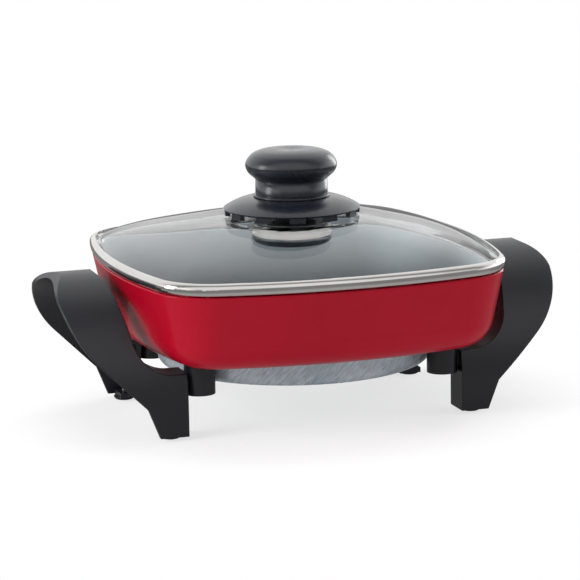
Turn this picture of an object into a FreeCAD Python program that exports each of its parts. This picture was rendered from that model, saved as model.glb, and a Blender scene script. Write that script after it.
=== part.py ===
import FreeCAD, Part
import os
import math
from FreeCAD import Placement, Rotation, Vector
import Sketcher

# Electric skillet with a lift-off glass lid. Millimetres, +Z up. The origin is on
# the table, at the middle of the four feet. +X points to the handle with the inlet.

doc = FreeCAD.newDocument("ElectricSkillet")
sheet = doc.addObject("Spreadsheet::Sheet", "Sizes")

SIZES = [
    # the pan: a bowed square, seen from above, with drafted walls
    ("rim_step", "1"),
    ("side_bow_radius", "310"),
    ("pan_corner_radius", "36"),
    ("pan_rim_height", "85.2"),
    ("pan_base_height", "42"),
    ("pan_wall", "3.2"),
    ("pan_floor", "4"),
    ("pan_draft", "12"),
    ("pan_base_fillet", "18"),
    ("pan_rim_round", "1"),
    ("lug_radius", "5"),
    ("lug_drop", "6"),
    # the screw positions that the handles, the shield ears and the pan lugs share
    ("boss_x", "70.3"),
    ("boss_y", "50.3"),
    ("boss_radius", "8.5"),
    ("boss_bottom", "23.6"),
    # the heat shield
    ("shield_radius", "77.5"),
    ("shield_bottom", "27.7"),
    ("shield_round", "5"),
    ("shield_wall", "0.8"),
    ("ear_half_width", "9"),
    ("shield_nut_radius", "5"),
    ("shield_nut_height", "4"),
    ("shield_stud_radius", "2.5"),
    # the sheathed element and its inlet
    ("element_ring_radius", "60"),
    ("element_tube_radius", "3.4"),
    ("pin_spacing", "25"),
    ("pin_radius", "2.4"),
    ("pin_tip_reach", "111"),
    ("pin_root_reach", "92"),
    ("insulator_radius", "4.4"),
    ("insulator_length", "7"),
    ("well_radius", "3.6"),
    ("well_bore_radius", "2.8"),
    ("well_start", "64"),
    ("well_reach", "108"),
    ("guard_half_width", "25"),
    ("guard_bottom", "26"),
    ("guard_reach", "114"),
    ("guard_wall", "1"),
    ("guard_flange", "6"),
    ("guard_flange_length", "12"),
    ("pin_neck_radius", "2"),
    # the handles
    ("handle_crest", "85.8"),
    ("crest_slack", "0.2"),
    ("handle_half_span", "59"),
    ("handle_shoulder_radius", "75"),
    ("handle_spring_height", "20"),
    ("handle_wall", "3"),
    ("handle_flange", "18"),
    ("handle_reach", "143"),
    ("leg_bottom", "2"),
    ("leg_inner_reach", "79"),
    ("leg_outer_reach", "95"),
    ("ankle_reach", "101.3"),
    ("ankle_height", "18"),
    ("cheek_reach", "126"),
    ("cheek_height", "42.5"),
    ("cheek_radius", "60"),
    ("shoulder_height", "75"),
    ("crest_round", "11"),
    ("crest_inner_reach", "112.3"),
    ("crest_inner_round", "6.3"),
    ("waist_reach", "107.5"),
    ("waist_height", "57"),
    ("throat_radius", "22"),
    ("leg_top", "36.4"),
    ("web_half_width", "3"),
    ("edge_round", "0.6"),
    ("floor_reach", "91.5"),
    ("recess_radius", "5.6"),
    ("screw_radius", "2"),
    ("screw_head_radius", "4"),
    ("screw_head_height", "2.2"),
    ("washer_radius", "5"),
    ("washer_height", "0.8"),
    # the rubber feet
    ("foot_x", "87.3"),
    ("foot_y", "49.5"),
    ("foot_radius", "6"),
    ("foot_stem_radius", "2.6"),
    ("foot_screw_radius", "1.2"),
    # the lid: band, glass and what hangs under it
    ("band_half_width", "108"),
    ("band_corner_radius", "37"),
    ("band_height", "7.2"),
    ("band_round", "3.3"),
    ("band_lip", "3.4"),
    ("band_wall", "1.6"),
    ("glass_thickness", "4"),
    ("glass_edge_lift", "1.6"),
    ("glass_crown_height", "109"),
    ("glass_crown_radius", "40"),
    ("glass_hole_radius", "4.5"),
    ("mirror_radius", "23"),
    ("mirror_drop", "6"),
    ("mirror_bulge", "6"),
    ("mirror_thickness", "0.8"),
    ("spacer_radius", "7"),
    ("lid_screw_radius", "2.5"),
    ("lid_screw_head_radius", "5"),
    ("lid_screw_head_height", "2.6"),
    ("gasket_thickness", "0.6"),
    # the knob
    ("skirt_radius", "38.3"),
    ("skirt_lift", "4.2"),
    ("skirt_wall", "2.4"),
    ("hub_radius", "14"),
    ("tab_count", "12"),
    ("tab_width", "8.6"),
    ("tab_drop", "3"),
    ("tab_start_angle", "17.2"),
    ("neck_radius", "20.5"),
    ("neck_lift", "11"),
    ("neck_ring_height", "1.2"),
    ("cap_lift", "20.5"),
    ("cap_radius", "25.8"),
    ("cap_waist_lift", "27.5"),
    ("knob_rise", "38"),
    ("cap_dish", "0.7"),
    ("insert_radius", "4.5"),
    ("insert_length", "14"),
    # gaps
    ("running_gap", "0.3"),
]

for row, (alias, number) in enumerate(SIZES, start=1):
    sheet.set("A%d" % row, alias)
    sheet.set("B%d" % row, number)
    sheet.setAlias("B%d" % row, alias)
doc.recompute()


class Size:
    """A length or an angle: its number, and the sheet formula that it follows."""

    def __init__(self, number, formula):
        self.number = float(number)
        self.formula = formula

    def __add__(self, other):
        other = as_size(other)
        return Size(self.number + other.number, "(%s + %s)" % (self.formula, other.formula))

    def __radd__(self, other):
        return as_size(other) + self

    def __sub__(self, other):
        other = as_size(other)
        return Size(self.number - other.number, "(%s - %s)" % (self.formula, other.formula))

    def __rsub__(self, other):
        return as_size(other) - self

    def __mul__(self, other):
        other = as_size(other)
        return Size(self.number * other.number, "(%s * %s)" % (self.formula, other.formula))

    def __rmul__(self, other):
        return as_size(other) * self

    def __truediv__(self, other):
        other = as_size(other)
        return Size(self.number / other.number, "(%s / %s)" % (self.formula, other.formula))

    def __neg__(self):
        return Size(-self.number, "(-%s)" % self.formula)


def as_size(value):
    """Wrap a bare number, so that it can be mixed with sizes."""
    if isinstance(value, Size):
        return value
    return Size(value, repr(float(value)))


def root(value):
    return Size(math.sqrt(value.number), "sqrt(%s)" % value.formula)


def tangent(angle):
    return Size(math.tan(math.radians(angle.number)), "tan(%s * 1deg)" % angle.formula)


def cosine(angle):
    return Size(math.cos(math.radians(angle.number)), "cos(%s * 1deg)" % angle.formula)


def sine(angle):
    return Size(math.sin(math.radians(angle.number)), "sin(%s * 1deg)" % angle.formula)


class Names:
    """Every cell of the sheet, as a size with the cell's own name."""


for alias, number in SIZES:
    setattr(Names, alias, Size(sheet.get(alias), "Sizes." + alias))
S = Names


def bind(obj, prop, value):
    """Set a property and tie it to the sheet."""
    value = as_size(value)
    obj.setExpression(prop, value.formula)


def place(obj, x=0, y=0, z=0):
    """Tie the position of an object to the sheet."""
    for axis, value in (("x", x), ("y", y), ("z", z)):
        if isinstance(value, Size):
            obj.setExpression("Placement.Base." + axis, value.formula)


def new_body(label):
    body = doc.addObject("PartDesign::Body", label)
    body.Label = label
    return body


def origin_plane(body, role):
    for feature in body.Origin.OriginFeatures:
        if feature.Role == role:
            return feature
    raise RuntimeError("no plane " + role)


PLANE_TURN = {
    "XY_Plane": Rotation(),
    "XZ_Plane": Rotation(Vector(1, 0, 0), 90),
    "YZ_Plane": Rotation(Vector(1, 1, 1), 120),
}


def new_sketch(owner, name, role, lift=0):
    """A sketch on a plane of a body, or free in the document when owner is None."""
    if owner is None:
        sketch = doc.addObject("Sketcher::SketchObject", name)
        sketch.Placement = Placement(Vector(0, 0, 0), PLANE_TURN[role])
        if isinstance(lift, Size):
            axis = {"XY_Plane": "z", "YZ_Plane": "x"}[role]
            sketch.setExpression("Placement.Base." + axis, lift.formula)
        return sketch
    sketch = owner.newObject("Sketcher::SketchObject", name)
    sketch.AttachmentSupport = [(origin_plane(owner, role), "")]
    sketch.MapMode = "FlatFace"
    if isinstance(lift, Size):
        sketch.setExpression("AttachmentOffset.Base.z", lift.formula)
    return sketch


def fix_point(sketch, geometry, end, x, y):
    """Hold one point of a sketch at a position given by two sizes."""
    for kind, value, axis in (("DistanceX", x, -2), ("DistanceY", y, -1)):
        value = as_size(value)
        if value.number == 0:
            sketch.addConstraint(Sketcher.Constraint("PointOnObject", geometry, end, axis))
        elif value.number > 0:
            n = sketch.addConstraint(
                Sketcher.Constraint(kind, -1, 1, geometry, end, value.number))
            sketch.setExpression("Constraints[%d]" % n, value.formula)
        else:
            n = sketch.addConstraint(
                Sketcher.Constraint(kind, geometry, end, -1, 1, -value.number))
            sketch.setExpression("Constraints[%d]" % n, (-value).formula)


def outline(sketch, corners):
    """Close an outline through corners (x, y) or (x, y, radius, side).

    The edge that leaves a corner is straight, or an arc of that radius whose
    centre lies on the left (+1) or on the right (-1) of the way along it.
    """
    count = len(corners)
    first = sketch.GeometryCount
    for index in range(count):
        start = corners[index]
        stop = corners[(index + 1) % count]
        p = Vector(as_size(start[0]).number, as_size(start[1]).number, 0)
        q = Vector(as_size(stop[0]).number, as_size(stop[1]).number, 0)
        if len(start) == 2:
            sketch.addGeometry(Part.LineSegment(p, q))
            continue
        radius = as_size(start[2]).number
        side = start[3]
        along = q - p
        half = along.Length / 2
        left = Vector(-along.y, along.x, 0).normalize()
        rise = math.sqrt(radius ** 2 - half ** 2)
        centre = (p + q) / 2 + left * (rise * side)
        sketch.addGeometry(arc_of(centre, radius, p, q, side))
    for index in range(count):
        start = corners[index]
        before = (index - 1) % count
        fix_point(sketch, first + index, end_of(corners[index], True), start[0], start[1])
        sketch.addConstraint(Sketcher.Constraint(
            "Coincident", first + before, end_of(corners[before], False),
            first + index, end_of(corners[index], True)))
    for index in range(count):
        if len(corners[index]) == 4:
            radius = as_size(corners[index][2])
            n = sketch.addConstraint(
                Sketcher.Constraint("Radius", first + index, radius.number))
            sketch.setExpression("Constraints[%d]" % n, radius.formula)


def arc_of(centre, radius, p, q, side):
    """The short arc from p to q; arcs always run counter-clockwise."""
    a = math.atan2(p.y - centre.y, p.x - centre.x)
    b = math.atan2(q.y - centre.y, q.x - centre.x)
    circle = Part.Circle(centre, Vector(0, 0, 1), radius)
    if side > 0:
        return Part.ArcOfCircle(circle, a, b)
    return Part.ArcOfCircle(circle, b, a)


def end_of(corner, leaving):
    """The end number of an edge: an arc drawn clockwise has its ends swapped."""
    if len(corner) == 4 and corner[3] < 0:
        return 2 if leaving else 1
    return 1 if leaving else 2


def circle_at(sketch, x, y, radius):
    """A circle held at its centre and by its radius."""
    radius = as_size(radius)
    centre = Vector(as_size(x).number, as_size(y).number, 0)
    g = sketch.addGeometry(Part.Circle(centre, Vector(0, 0, 1), radius.number))
    fix_point(sketch, g, 3, x, y)
    n = sketch.addConstraint(Sketcher.Constraint("Radius", g, radius.number))
    sketch.setExpression("Constraints[%d]" % n, radius.formula)


def bowed_square(sketch, half, bow, corner):
    """Four side arcs bowed outward, joined by four tangent corner arcs."""
    a = half.number
    big = bow.number
    small = corner.number
    drop = a - big
    centre = (2 * drop + math.sqrt(4 * drop ** 2 - 8 * (drop ** 2 - (big - small) ** 2))) / 4
    tilt = math.atan2(centre - drop, centre)
    first = sketch.GeometryCount
    for quarter in range(4):
        turn = quarter * math.pi / 2
        side = Vector(drop * math.cos(turn), drop * math.sin(turn), 0)
        spread = math.pi / 2 - tilt
        sketch.addGeometry(Part.ArcOfCircle(
            Part.Circle(side, Vector(0, 0, 1), big), turn - spread, turn + spread))
        ox = centre * math.cos(turn) - centre * math.sin(turn)
        oy = centre * math.sin(turn) + centre * math.cos(turn)
        sketch.addGeometry(Part.ArcOfCircle(
            Part.Circle(Vector(ox, oy, 0), Vector(0, 0, 1), small),
            turn + spread, turn + tilt))
    inset = bow - half
    for quarter in range(4):
        arc = first + 2 * quarter
        following = first + (2 * quarter + 2) % 8
        sketch.addConstraint(Sketcher.Constraint("Tangent", arc, 2, arc + 1, 1))
        sketch.addConstraint(Sketcher.Constraint("Tangent", arc + 1, 2, following, 1))
        axis = -1 if quarter % 2 == 0 else -2
        kind = "DistanceX" if quarter % 2 == 0 else "DistanceY"
        sketch.addConstraint(Sketcher.Constraint("PointOnObject", arc, 3, axis))
        if quarter < 2:
            n = sketch.addConstraint(Sketcher.Constraint(kind, arc, 3, -1, 1, inset.number))
        else:
            n = sketch.addConstraint(Sketcher.Constraint(kind, -1, 1, arc, 3, inset.number))
        sketch.setExpression("Constraints[%d]" % n, inset.formula)
        n = sketch.addConstraint(Sketcher.Constraint("Radius", arc, bow.number))
        sketch.setExpression("Constraints[%d]" % n, bow.formula)
        n = sketch.addConstraint(Sketcher.Constraint("Radius", arc + 1, corner.number))
        sketch.setExpression("Constraints[%d]" % n, corner.formula)


def pad(body, name, sketch, length, reverse=False, both=False, taper=None):
    feature = body.newObject("PartDesign::Pad", name)
    feature.Profile = sketch
    bind(feature, "Length", length)
    feature.Reversed = reverse
    if both:
        feature.Midplane = True
    if taper is not None:
        bind(feature, "TaperAngle", taper)
    body.Tip = feature
    return feature


def pocket(body, name, sketch, length=None, reverse=False, both=False, taper=None):
    feature = body.newObject("PartDesign::Pocket", name)
    feature.Profile = sketch
    if length is None:
        feature.Type = "ThroughAll"
    else:
        bind(feature, "Length", length)
    feature.Reversed = reverse
    if both:
        feature.Midplane = True
    if taper is not None:
        bind(feature, "TaperAngle", taper)
    body.Tip = feature
    return feature


def revolve(body, name, corners, cut=False):
    """Turn an outline (radius, height) once round the upright axis of the body."""
    sketch = new_sketch(body, name + "_profile", "XZ_Plane")
    outline(sketch, corners)
    kind = "PartDesign::Groove" if cut else "PartDesign::Revolution"
    feature = body.newObject(kind, name)
    feature.Profile = sketch
    feature.ReferenceAxis = (sketch, ["V_Axis"])
    feature.Angle = 360
    body.Tip = feature
    return feature


def round_edges(body, name, base, radius, wanted):
    """Fillet the edges of a feature that a test picks out."""
    doc.recompute()
    names = []
    for index, edge in enumerate(base.Shape.Edges, start=1):
        if wanted(edge):
            names.append("Edge%d" % index)
    if not names:
        raise RuntimeError("no edge to round in " + name)
    feature = body.newObject("PartDesign::Fillet", name)
    feature.Base = (base, names)
    bind(feature, "Radius", radius)
    body.Tip = feature
    return feature


def level(edge, height):
    """True for an edge that lies flat at one height."""
    box = edge.BoundBox
    return abs(box.ZMin - height) < 0.02 and abs(box.ZMax - height) < 0.02


def extrusion(name, sketch, length, both=False):
    """A free sketch pushed along its own normal."""
    feature = doc.addObject("Part::Extrusion", name)
    feature.Base = sketch
    feature.DirMode = "Normal"
    bind(feature, "LengthFwd", length)
    feature.Symmetric = both
    feature.Solid = True
    return feature


def cut(name, base, tool):
    feature = doc.addObject("Part::Cut", name)
    feature.Base = base
    feature.Tool = tool
    return feature


def common(name, shapes):
    feature = doc.addObject("Part::MultiCommon", name)
    feature.Shapes = shapes
    return feature


def fuse(name, shapes):
    feature = doc.addObject("Part::MultiFuse", name)
    feature.Shapes = shapes
    return feature


def cylinder(name, radius, height, x=0, y=0, z=0, turn=None):
    feature = doc.addObject("Part::Cylinder", name)
    bind(feature, "Radius", radius)
    bind(feature, "Height", height)
    if turn is not None:
        feature.Placement = Placement(Vector(0, 0, 0), turn)
    place(feature, as_size(x), as_size(y), as_size(z))
    return feature


def block(name, x0, x1, y0, y1, z0, z1):
    feature = doc.addObject("Part::Box", name)
    bind(feature, "Length", as_size(x1) - x0)
    bind(feature, "Width", as_size(y1) - y0)
    bind(feature, "Height", as_size(z1) - z0)
    place(feature, as_size(x0), as_size(y0), as_size(z0))
    return feature


ALONG_X = Rotation(Vector(0, 1, 0), 90)
CORNERS = (("front_left", -1, -1), ("front_right", 1, -1),
           ("back_left", -1, 1), ("back_right", 1, 1))
parts = {}

# The pan. Its outline is drawn at the rim and drawn down with draft; the inside
# is the same outline moved in by the wall. Four lugs under it take the screws.
pan = new_body("pan")
pan_depth = S.pan_rim_height - S.pan_base_height
pan_half = S.band_half_width - S.rim_step
rim_sketch = new_sketch(pan, "pan_rim", "XY_Plane", S.pan_rim_height)
bowed_square(rim_sketch, pan_half, S.side_bow_radius, S.pan_corner_radius)
pan_block = pad(pan, "pan_block", rim_sketch, pan_depth, reverse=True, taper=-S.pan_draft)
cavity_sketch = new_sketch(pan, "pan_cavity_top", "XY_Plane", S.pan_rim_height)
bowed_square(cavity_sketch, pan_half - S.pan_wall, S.side_bow_radius - S.pan_wall,
             S.pan_corner_radius - S.pan_wall)
cavity = pocket(pan, "pan_cavity", cavity_sketch, pan_depth - S.pan_floor,
                taper=-S.pan_draft)
floor_height = S.pan_base_height + S.pan_floor
cavity_round = round_edges(pan, "pan_cavity_round", cavity, S.pan_base_fillet - S.pan_wall,
                           lambda e: level(e, floor_height.number))
pan_round = round_edges(pan, "pan_base_round", cavity_round, S.pan_base_fillet,
                        lambda e: level(e, S.pan_base_height.number))
rim_round = round_edges(pan, "pan_rim_soft", pan_round, S.pan_rim_round,
                        lambda e: level(e, S.pan_rim_height.number))
lug_sketch = new_sketch(pan, "pan_lug_circles", "XY_Plane", S.pan_base_height - S.lug_drop)
for corner, sx, sy in CORNERS:
    circle_at(lug_sketch, sx * S.boss_x, sy * S.boss_y, S.lug_radius)
pan_lugs = pad(pan, "pan_lugs", lug_sketch, S.lug_drop + S.pan_floor / 2)
bore_sketch = new_sketch(pan, "pan_lug_bores", "XY_Plane", S.pan_base_height - S.lug_drop)
for corner, sx, sy in CORNERS:
    circle_at(bore_sketch, sx * S.boss_x, sy * S.boss_y, S.screw_radius)
pocket(pan, "pan_lug_threads", bore_sketch, S.lug_drop, reverse=True)
parts["pan"] = pan

# The heat shield: a spun dish under the pan with four flat ears that the handle
# bosses clamp against the pan, and notches where the terminals and the well leave.
shield_top = S.pan_base_height
shield = new_body("heat_shield")
revolve(shield, "shield_dish", [
    (S.shield_stud_radius, S.shield_bottom),
    (S.shield_radius - S.shield_round, S.shield_bottom, S.shield_round, 1),
    (S.shield_radius, S.shield_bottom + S.shield_round),
    (S.shield_radius, shield_top),
    (S.shield_radius - S.shield_wall, shield_top),
    (S.shield_radius - S.shield_wall, S.shield_bottom + S.shield_round,
     S.shield_round - S.shield_wall, -1),
    (S.shield_radius - S.shield_round, S.shield_bottom + S.shield_wall),
    (S.shield_stud_radius, S.shield_bottom + S.shield_wall),
])
ear_sketch = new_sketch(shield, "shield_ears_outline", "XY_Plane", shield_top - S.shield_wall)
for corner, sx, sy in CORNERS:
    inner = S.boss_x - 1.6 * S.ear_half_width
    outer = S.boss_x + S.ear_half_width - 1
    low = S.boss_y - S.ear_half_width
    high = S.boss_y + S.ear_half_width
    path = [(sx * inner, sy * low), (sx * outer, sy * low),
            (sx * outer, sy * high), (sx * inner, sy * high)]
    outline(ear_sketch, path)
pad(shield, "shield_ears", ear_sketch, S.shield_wall)
hole_sketch = new_sketch(shield, "shield_ear_holes", "XY_Plane", shield_top)
for corner, sx, sy in CORNERS:
    circle_at(hole_sketch, sx * S.boss_x, sy * S.boss_y, S.lug_radius + S.running_gap)
pocket(shield, "shield_ear_bores", hole_sketch, S.shield_wall)
wire_height = S.pan_base_height - S.element_tube_radius
notch_sketch = new_sketch(shield, "shield_notches", "YZ_Plane", S.shield_radius / 2)
notch = S.element_tube_radius + S.running_gap
for side in (-1, 0, 1):
    y = side * S.pin_spacing / 2
    outline(notch_sketch, [(y - notch, wire_height - notch), (y + notch, wire_height - notch),
                           (y + notch, shield_top + 1), (y - notch, shield_top + 1)])
pocket(shield, "shield_notch_cut", notch_sketch, S.shield_radius / 2 + 1, reverse=True)
parts["heat_shield"] = shield

# A stud in the middle of the pan and a dome nut hold the dish.
stud = cylinder("shield_stud", S.shield_stud_radius,
                S.pan_base_height - S.shield_bottom + S.shield_nut_height / 2,
                z=S.shield_bottom - S.shield_nut_height / 2)
parts["shield_stud"] = stud
nut = new_body("shield_nut")
revolve(nut, "shield_nut_turn", [
    (0, S.shield_bottom - S.shield_nut_height),
    (S.shield_nut_radius - 1.5, S.shield_bottom - S.shield_nut_height + 0.4),
    (S.shield_nut_radius, S.shield_bottom - 1.5),
    (S.shield_nut_radius, S.shield_bottom),
    (S.shield_stud_radius, S.shield_bottom),
    (S.shield_stud_radius, S.shield_bottom - S.shield_nut_height / 2),
    (0, S.shield_bottom - S.shield_nut_height / 2),
])
parts["shield_nut"] = nut

# The sheathed element: an open ring under the pan whose two ends run out to +X.
ring_opening = Size(2 * math.degrees(math.asin(
    S.pin_spacing.number / 2 / S.element_ring_radius.number)),
    "(2 * asin(Sizes.pin_spacing / 2 / Sizes.element_ring_radius) / 1deg)")
ring = doc.addObject("Part::Torus", "element_ring")
bind(ring, "Radius1", S.element_ring_radius)
bind(ring, "Radius2", S.element_tube_radius)
bind(ring, "Angle3", 360 - ring_opening)
ring.Placement = Placement(Vector(0, 0, 0), Rotation(Vector(0, 0, 1), 1))
ring.setExpression("Placement.Rotation.Angle", ring_opening.formula + " / 2 * 1deg")
place(ring, z=wire_height)
ends = []
end_start = root(S.element_ring_radius * S.element_ring_radius
                 - S.pin_spacing * S.pin_spacing / 4)
for label, side in (("front", -1), ("back", 1)):
    ends.append(cylinder("element_end_" + label, S.element_tube_radius,
                         S.pin_root_reach - end_start, end_start,
                         side * S.pin_spacing / 2, wire_height, ALONG_X))
element = fuse("heating_element", [ring] + ends)
parts["heating_element"] = element

# Ceramic collars and the two terminal pins that the cord's plug pushes onto.
collars = []
pins = []
for label, side in (("front", -1), ("back", 1)):
    y = side * S.pin_spacing / 2
    collar = cylinder("collar_" + label, S.insulator_radius, S.insulator_length,
                      S.pin_root_reach, y, wire_height, ALONG_X)
    collar_bore = cylinder("collar_bore_" + label, S.pin_neck_radius, S.insulator_length,
                           S.pin_root_reach, y, wire_height, ALONG_X)
    collars.append(cut("collar_ring_" + label, collar, collar_bore))
    neck_rod = cylinder("pin_neck_" + label, S.pin_neck_radius, S.insulator_length,
                        S.pin_root_reach, y, wire_height, ALONG_X)
    shank_start = S.pin_root_reach + S.insulator_length
    shank = cylinder("pin_shank_" + label, S.pin_radius,
                     S.pin_tip_reach - S.pin_radius - shank_start,
                     shank_start, y, wire_height, ALONG_X)
    tip = doc.addObject("Part::Sphere", "pin_tip_" + label)
    bind(tip, "Radius", S.pin_radius)
    place(tip, S.pin_tip_reach - S.pin_radius, y, wire_height)
    pins.append(fuse("pin_" + label, [neck_rod, shank, tip]))
parts["terminal_insulators"] = fuse("terminal_insulators", collars)
parts["terminal_pins"] = fuse("terminal_pins", pins)

# The well between the pins, where a control's probe feels the pan.
well_rod = cylinder("well_rod", S.well_radius, S.well_reach - S.well_start,
                    S.well_start, 0, S.pan_base_height - S.well_radius, ALONG_X)
well_bore = cylinder("well_bore", S.well_bore_radius,
                     S.well_reach - S.well_start, S.well_start + 4, 0,
                     S.pan_base_height - S.well_radius, ALONG_X)
parts["sensor_well"] = cut("sensor_well", well_rod, well_bore)

# The guard: a folded sheet channel round the pins, open at its outer end, with two
# flanges that lie flat against the pan.
guard_start = S.shield_radius
guard_top = S.pan_base_height
guard = new_body("inlet_guard")
guard_outer = new_sketch(guard, "guard_section", "YZ_Plane", guard_start)
w = S.guard_half_width
k = w - S.guard_wall
bend = S.guard_wall * 3
outline(guard_outer, [
    (-w, guard_top), (-w, S.guard_bottom + bend, bend, 1),
    (-w + bend, S.guard_bottom), (w - bend, S.guard_bottom, bend, 1),
    (w, S.guard_bottom + bend), (w, guard_top), (k, guard_top),
    (k, S.guard_bottom + bend, bend - S.guard_wall, -1),
    (w - bend, S.guard_bottom + S.guard_wall),
    (-w + bend, S.guard_bottom + S.guard_wall, bend - S.guard_wall, -1),
    (-k, S.guard_bottom + bend), (-k, guard_top),
])
pad(guard, "guard_channel", guard_outer, S.guard_reach - guard_start)
wings = new_sketch(guard, "guard_flange_outline", "XY_Plane", guard_top - S.guard_wall)
for side in (-1, 1):
    outline(wings, [(guard_start, side * k), (guard_start + S.guard_flange_length, side * k),
                    (guard_start + S.guard_flange_length, side * (w + S.guard_flange)),
                    (guard_start, side * (w + S.guard_flange))])
pad(guard, "guard_flanges", wings, S.guard_wall)
parts["inlet_guard"] = guard

# The feet: rubber domes with a stem in the leg and a small screw from below.
foot_names = []
for corner, sx, sy in CORNERS:
    foot = new_body("foot_" + corner)
    revolve(foot, "foot_turn_" + corner, [
        (S.foot_screw_radius, 0.6),
        (S.foot_radius / 2, 0),
        (S.foot_radius - S.leg_bottom, 0, S.leg_bottom, 1),
        (S.foot_radius, S.leg_bottom),
        (S.foot_stem_radius, S.leg_bottom),
        (S.foot_stem_radius, S.leg_bottom + S.handle_wall),
        (S.foot_screw_radius, S.leg_bottom + S.handle_wall),
    ])
    place(foot, sx * S.foot_x, sy * S.foot_y)
    parts["foot_" + corner] = foot
foot_screws = []
for corner, sx, sy in CORNERS:
    foot_screws.append(cylinder("foot_screw_" + corner, S.foot_screw_radius,
                                S.leg_bottom + S.handle_wall + 1 - 0.6,
                                sx * S.foot_x, sy * S.foot_y, 0.6))
parts["foot_screws"] = fuse("foot_screws", foot_screws)

# The handles. Seen from the side each is a half arch; seen from the front it is an
# ear with a waist that follows the pan. The arch and the ear are two extrusions that
# meet, hollowed from the far side so that a wall and a pan-side flange are left.


def arch_profile(name, inset, start):
    """The arch across Y: two upright legs, two shoulder arcs and a crown arc."""
    sketch = new_sketch(None, name, "YZ_Plane", start)
    big = S.handle_shoulder_radius - inset
    span = S.handle_half_span - inset
    top = S.handle_crest - inset
    spring = S.handle_spring_height
    rise = top - spring
    small = ((big * big - (big - span) * (big - span) - rise * rise) / (2 * (big - rise)))
    tilt = math.atan2((rise - small).number, (big - span).number)
    p = Vector(span.number, -20, 0)
    q = Vector(span.number, spring.number, 0)
    sketch.addGeometry(Part.LineSegment(p, q))
    sketch.addGeometry(Part.ArcOfCircle(Part.Circle(
        Vector((span - big).number, spring.number, 0), Vector(0, 0, 1), big.number), 0, tilt))
    sketch.addGeometry(Part.ArcOfCircle(Part.Circle(
        Vector(0, (top - small).number, 0), Vector(0, 0, 1), small.number),
        tilt, math.pi - tilt))
    sketch.addGeometry(Part.ArcOfCircle(Part.Circle(
        Vector((big - span).number, spring.number, 0), Vector(0, 0, 1), big.number),
        math.pi - tilt, math.pi))
    sketch.addGeometry(Part.LineSegment(Vector(-q.x, q.y, 0), Vector(-p.x, p.y, 0)))
    sketch.addGeometry(Part.LineSegment(Vector(-p.x, p.y, 0), p))
    fix_point(sketch, 0, 1, span, -20)
    fix_point(sketch, 4, 2, -span, -20)
    fix_point(sketch, 0, 2, span, spring)
    fix_point(sketch, 4, 1, -span, spring)
    sketch.addConstraint(Sketcher.Constraint("Coincident", 4, 2, 5, 1))
    sketch.addConstraint(Sketcher.Constraint("Coincident", 5, 2, 0, 1))
    sketch.addConstraint(Sketcher.Constraint("Tangent", 0, 2, 1, 1))
    sketch.addConstraint(Sketcher.Constraint("Tangent", 1, 2, 2, 1))
    sketch.addConstraint(Sketcher.Constraint("Tangent", 2, 2, 3, 1))
    sketch.addConstraint(Sketcher.Constraint("Tangent", 3, 2, 4, 1))
    for arc in (1, 3):
        n = sketch.addConstraint(Sketcher.Constraint("Radius", arc, big.number))
        sketch.setExpression("Constraints[%d]" % n, big.formula)
    n = sketch.addConstraint(Sketcher.Constraint("Radius", 2, small.number))
    sketch.setExpression("Constraints[%d]" % n, small.formula)
    return sketch


def ear_profile(name, inset):
    """The ear across X: foot, ankle, cheek, crest and the waist beside the pan."""
    sketch = new_sketch(None, name, "XZ_Plane")
    i = inset
    top = S.handle_crest + S.crest_slack
    if as_size(inset).number == 0:
        outline(sketch, [
            (S.leg_inner_reach, S.leg_bottom),
            (S.leg_outer_reach, S.leg_bottom),
            (S.ankle_reach, S.ankle_height),
            (S.cheek_reach, S.cheek_height, S.cheek_radius, 1),
            (S.handle_reach, S.shoulder_height, S.crest_round, 1),
            (S.handle_reach - S.crest_round, top),
            (S.crest_inner_reach + S.crest_inner_round, top, S.crest_inner_round, 1),
            (S.crest_inner_reach, top - S.crest_inner_round),
            (S.waist_reach, S.waist_height, S.throat_radius, -1),
            (S.waist_reach - S.throat_radius + 1, S.leg_top),
            (S.leg_inner_reach, S.leg_top),
        ])
    else:
        far = S.handle_reach + i
        outline(sketch, [
            (S.leg_inner_reach + i, S.leg_bottom + i),
            (S.floor_reach, S.leg_bottom + i),
            (S.floor_reach, -i),
            (far, -i),
            (far, top + i),
            (S.crest_inner_reach + i, top + i),
            (S.crest_inner_reach + i, top - S.crest_inner_round),
            (S.waist_reach + i, S.waist_height, S.throat_radius + i, -1),
            (S.waist_reach - S.throat_radius + 1, S.leg_top - i),
            (S.leg_inner_reach + i, S.leg_top - i),
        ])
    return sketch


width = S.handle_reach + 30 - S.leg_inner_reach
start = S.leg_inner_reach - 5
arch_solid = extrusion("arch_solid", arch_profile("arch_outer", as_size(0), start), width)
ear_solid = extrusion("ear_solid", ear_profile("ear_outer", as_size(0)),
                      S.handle_half_span * 2 + 10, both=True)
shell_block = common("shell_block", [arch_solid, ear_solid])
doc.recompute()
shell_outer = doc.addObject("Part::Fillet", "shell_outer")
shell_outer.Base = shell_block
rim_edges = []
for index, edge in enumerate(shell_block.Shape.Edges, start=1):
    box = edge.BoundBox
    lengthwise = box.YLength < 0.01 and box.ZLength < 0.01
    crosswise = box.XLength < 0.01 and box.ZLength < 0.01
    at_floor = abs(box.ZMax - S.leg_bottom.number) < 0.01
    if not (lengthwise or crosswise or at_floor):
        rim_edges.append((index, S.edge_round.number, S.edge_round.number))
shell_outer.Edges = rim_edges
arch_hollow = extrusion("arch_hollow", arch_profile("arch_inner", S.handle_wall, start), width)
ear_hollow = extrusion("ear_hollow", ear_profile("ear_inner", S.handle_wall),
                       S.handle_half_span * 2 + 10, both=True)
shell_inner = common("shell_inner", [arch_hollow, ear_hollow])
window = extrusion("window", arch_profile("arch_window", S.handle_flange, start), width)
shell_open = cut("shell_open", shell_outer, shell_inner)
shell = cut("shell", shell_open, window)

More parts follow.
